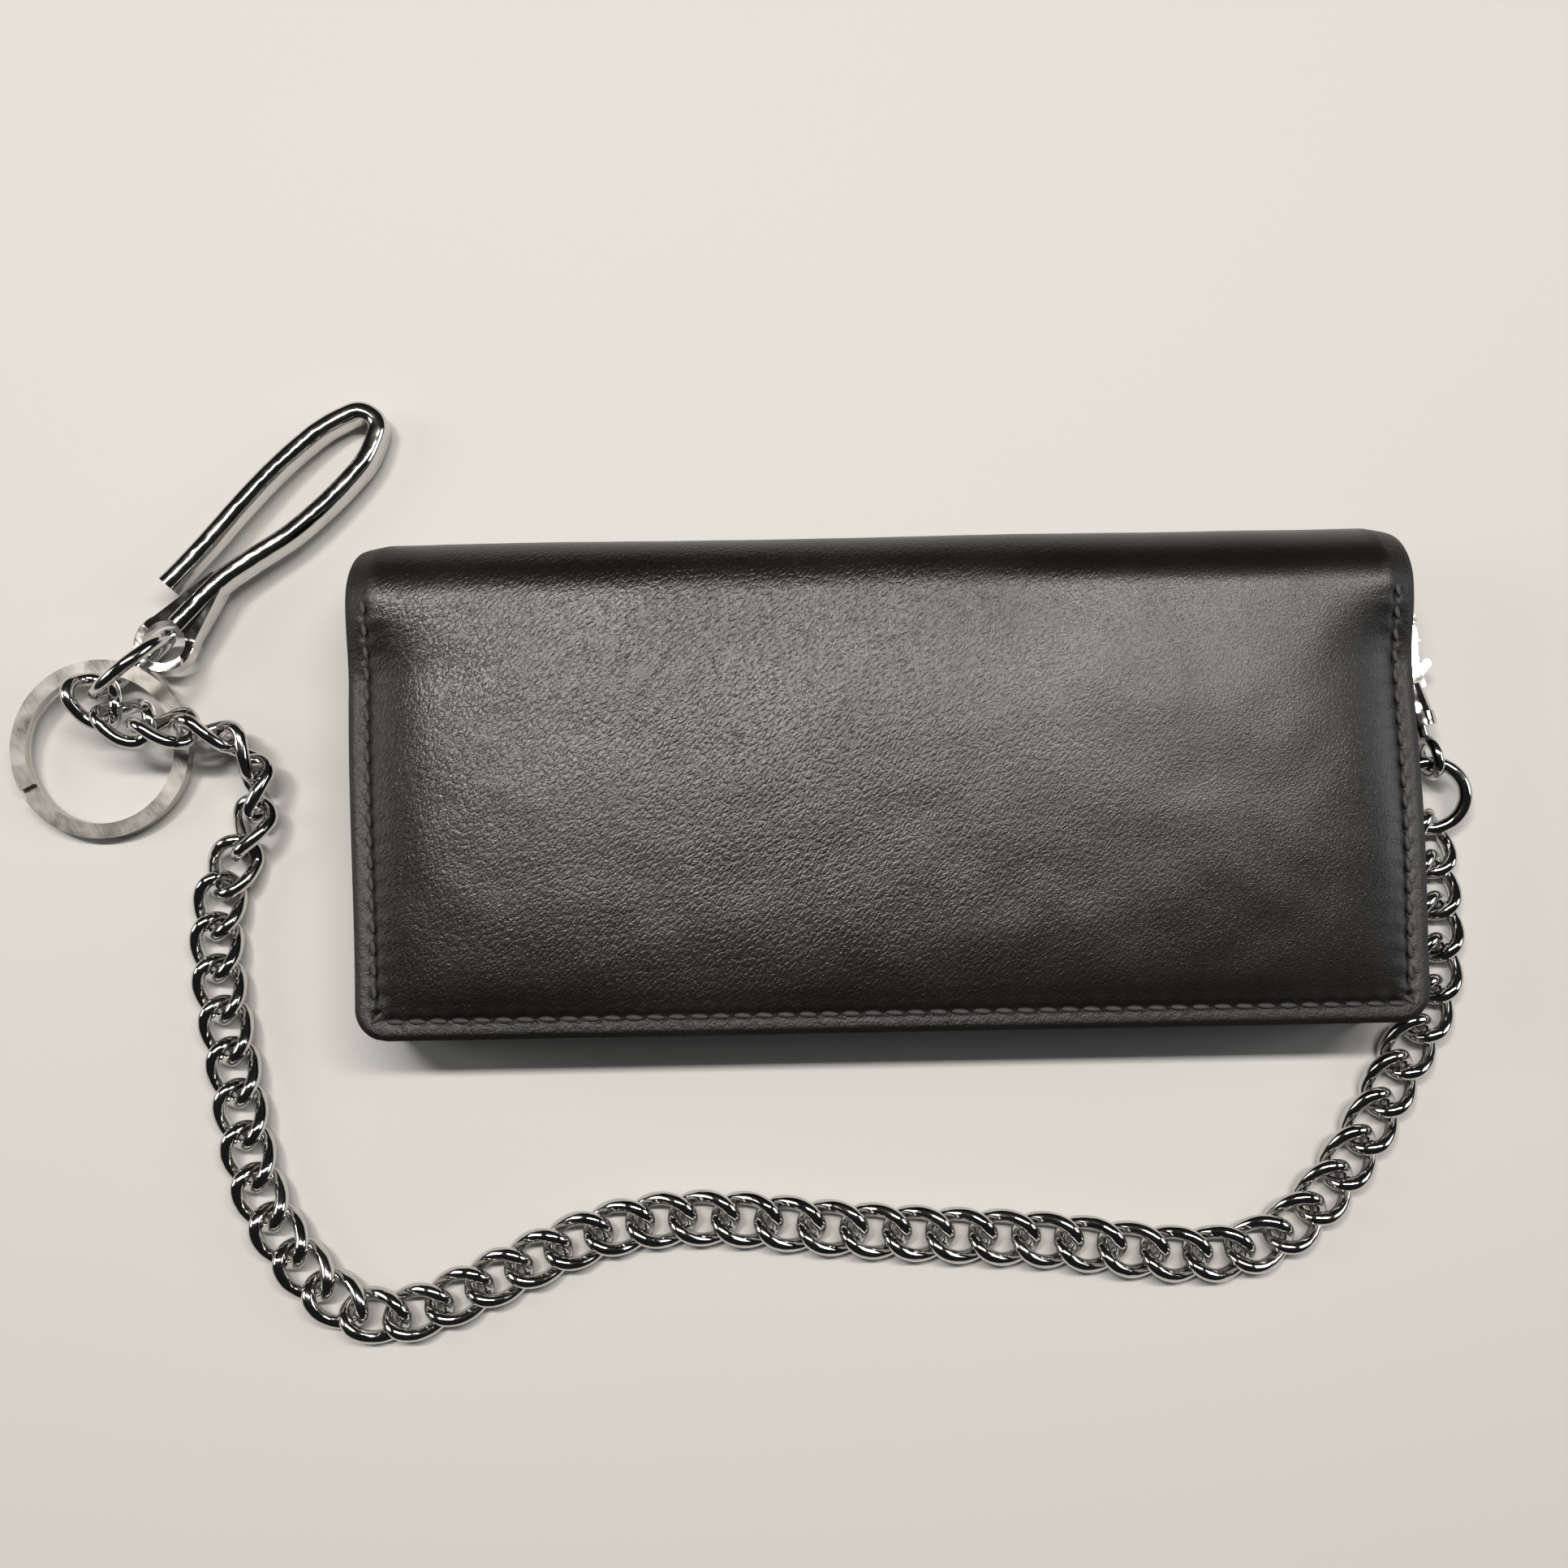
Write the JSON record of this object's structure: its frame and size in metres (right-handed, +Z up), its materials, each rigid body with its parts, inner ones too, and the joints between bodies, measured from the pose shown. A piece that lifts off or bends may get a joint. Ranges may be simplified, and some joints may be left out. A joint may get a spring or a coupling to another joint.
{
  "type": "chain wallet",
  "caption": "Long bifold leather wallet, closed, with a curb chain from a D-ring and swivel trigger snap round to a split key ring and a U-shaped belt hook",
  "frame": {"origin": "On the surface the wallet lies on, under the middle of the closed wallet", "axes": "X runs along the fold, +Y points at the fold, +Z up"},
  "size_m": [0.2924, 0.1884, 0.0283],
  "materials": {
    "hide": "fine pebbled, semi-gloss",
    "lining": "smooth, matte",
    "thread": "waxed",
    "tape": "woven",
    "nickel": "polished nickel plate",
    "ring_steel": "satin, fine scratches",
    "spring_steel": "bright wire"
  },
  "bodies": {
    "back": {"back_cover": "hide", "back_liner": "lining", "back_thread": "thread", "coin_pocket": "lining", "coin_facing": "lining", "zip_tape_near": "tape", "zip_tape_far": "tape", "zip_teeth_near": "nickel", "zip_teeth_far": "nickel", "d_ring_tab": "lining"},
    "fold": {"cover_fold": "hide"},
    "front": {"front_cover": "hide", "front_liner": "lining", "front_thread": "thread", "card_slot_1": "lining", "card_slot_2": "lining", "card_slot_3": "lining", "card_slot_4": "lining"},
    "slider": {"zip_slider": "nickel"},
    "pull": {"zip_pull": "nickel"},
    "d": {"d_ring": "nickel"},
    "snap": {"snap_body": "nickel", "snap_pin": "nickel", "snap_spring": "spring_steel"},
    "gate": {"snap_gate": "nickel"},
    "swivel": {"swivel_eye": "nickel"},
    "o": {"o_ring": "nickel"},
    "chain_01": {"chain_01": "nickel"},
    "chain_02": {"chain_02": "nickel"},
    "chain_03": {"chain_03": "nickel"},
    "chain_04": {"chain_04": "nickel"},
    "chain_05": {"chain_05": "nickel"},
    "chain_06": {"chain_06": "nickel"},
    "chain_07": {"chain_07": "nickel"},
    "chain_08": {"chain_08": "nickel"},
    "chain_09": {"chain_09": "nickel"},
    "chain_10": {"chain_10": "nickel"},
    "chain_11": {"chain_11": "nickel"},
    "chain_12": {"chain_12": "nickel"},
    "chain_13": {"chain_13": "nickel"},
    "jump": {"jump_ring": "nickel"},
    "keys": {"key_ring": "ring_steel"},
    "hook": {"belt_hook": "nickel"}
  },
  "joints": [
    {"name": "lower_fold", "type": "hinge", "parent": "back", "child": "fold", "pos_m": [0, 0.04422, 0.00403], "axis": [-1, 0, 0], "range_deg": [0, 90]},
    {"name": "upper_fold", "type": "hinge", "parent": "fold", "child": "front", "pos_m": [0, 0.04422, 0.02347], "axis": [-1, 0, 0], "range_deg": [0, 90]},
    {"name": "zip_slide", "type": "slide", "parent": "back", "child": "slider", "axis": [1, 0, 0], "range_m": [0, 0.13]},
    {"name": "pull_tilt", "type": "hinge", "parent": "slider", "child": "pull", "pos_m": [-0.0681, 0.018, 0.01355], "axis": [0, -1, 0], "range_deg": [0, 6]},
    {"name": "d_swing", "type": "hinge", "parent": "back", "child": "d", "pos_m": [0.1041, 0.038, 0.0094], "axis": [0, -1, 0], "range_deg": [0, 15]},
    {"name": "snap_swing", "type": "hinge", "parent": "d", "child": "snap", "pos_m": [0.1041, 0.0326, 0.0065], "axis": [0, 0, 1], "range_deg": [0, 6]},
    {"name": "gate", "type": "hinge", "parent": "snap", "child": "gate", "pos_m": [0.10838, 0.01988, 0.0065], "axis": [0, 0, 1], "range_deg": [0, 22], "stiffness_Nm_per_rad": 0.02},
    {"name": "swivel", "type": "hinge", "parent": "snap", "child": "swivel", "pos_m": [0.1102, 0.0035, 0.0065], "axis": [-0.2062, 0.9785, 0], "continuous": true},
    {"name": "o_swing", "type": "hinge", "parent": "swivel", "child": "o", "pos_m": [0.1102, 0.0025, 0.006], "axis": [0, 0, 1], "range_deg": [-2, 8]},
    {"name": "bend_01", "type": "hinge", "parent": "o", "child": "chain_01", "pos_m": [0.1104, -0.0092, 0.0032], "axis": [0, 0, 1], "range_deg": [-3, 10]},
    {"name": "bend_02", "type": "hinge", "parent": "chain_01", "child": "chain_02", "pos_m": [0.1088, -0.04231, 0.0032], "axis": [0, 0, -1], "range_deg": [-12, 8]},
    {"name": "bend_03", "type": "hinge", "parent": "chain_02", "child": "chain_03", "pos_m": [0.09233, -0.07102, 0.0032], "axis": [0, 0, 1], "range_deg": [-8, 12]},
    {"name": "bend_04", "type": "hinge", "parent": "chain_03", "child": "chain_04", "pos_m": [0.06732, -0.09163, 0.0032], "axis": [0, 0, -1], "range_deg": [-12, 8]},
    {"name": "bend_05", "type": "hinge", "parent": "chain_04", "child": "chain_05", "pos_m": [0.03433, -0.0892, 0.0032], "axis": [0, 0, 1], "range_deg": [-8, 12]},
    {"name": "bend_06", "type": "hinge", "parent": "chain_05", "child": "chain_06", "pos_m": [0.00122, -0.08685, 0.0032], "axis": [0, 0, -1], "range_deg": [-12, 8]},
    {"name": "bend_07", "type": "hinge", "parent": "chain_06", "child": "chain_07", "pos_m": [-0.03181, -0.08354, 0.0032], "axis": [0, 0, 1], "range_deg": [-8, 12]},
    {"name": "bend_08", "type": "hinge", "parent": "chain_07", "child": "chain_08", "pos_m": [-0.06429, -0.08858, 0.0032], "axis": [0, 0, -1], "range_deg": [-12, 8]},
    {"name": "bend_09", "type": "hinge", "parent": "chain_08", "child": "chain_09", "pos_m": [-0.09503, -0.10097, 0.0032], "axis": [0, 0, 1], "range_deg": [-8, 12]},
    {"name": "bend_10", "type": "hinge", "parent": "chain_09", "child": "chain_10", "pos_m": [-0.12011, -0.08195, 0.0032], "axis": [0, 0, -1], "range_deg": [-12, 8]},
    {"name": "bend_11", "type": "hinge", "parent": "chain_10", "child": "chain_11", "pos_m": [-0.12873, -0.05003, 0.0032], "axis": [0, 0, 1], "range_deg": [-8, 12]},
    {"name": "bend_12", "type": "hinge", "parent": "chain_11", "child": "chain_12", "pos_m": [-0.13153, -0.0172, 0.0032], "axis": [0, 0, -1], "range_deg": [-12, 4]},
    {"name": "bend_13", "type": "hinge", "parent": "chain_12", "child": "chain_13", "pos_m": [-0.129, 0.0117, 0.0095], "axis": [0, 0, 1], "range_deg": [-12, 1]},
    {"name": "jump_swing", "type": "hinge", "parent": "chain_13", "child": "jump", "pos_m": [-0.1554, 0.0203, 0.0102], "axis": [0, 0, 1], "range_deg": [-4, 4]},
    {"name": "key_spin", "type": "hinge", "parent": "jump", "child": "keys", "pos_m": [-0.1563, 0.0107, 0.00285], "axis": [0, -0.1219, 0.9925], "continuous": true},
    {"name": "hook_swing", "type": "hinge", "parent": "jump", "child": "hook", "pos_m": [-0.1437, 0.0315, 0.0056], "axis": [0, 0, 1], "range_deg": [-15, 60]}
  ],
  "couplings": [
    {"joint": "upper_fold", "follows": "lower_fold", "ratio": 1}
  ]
}
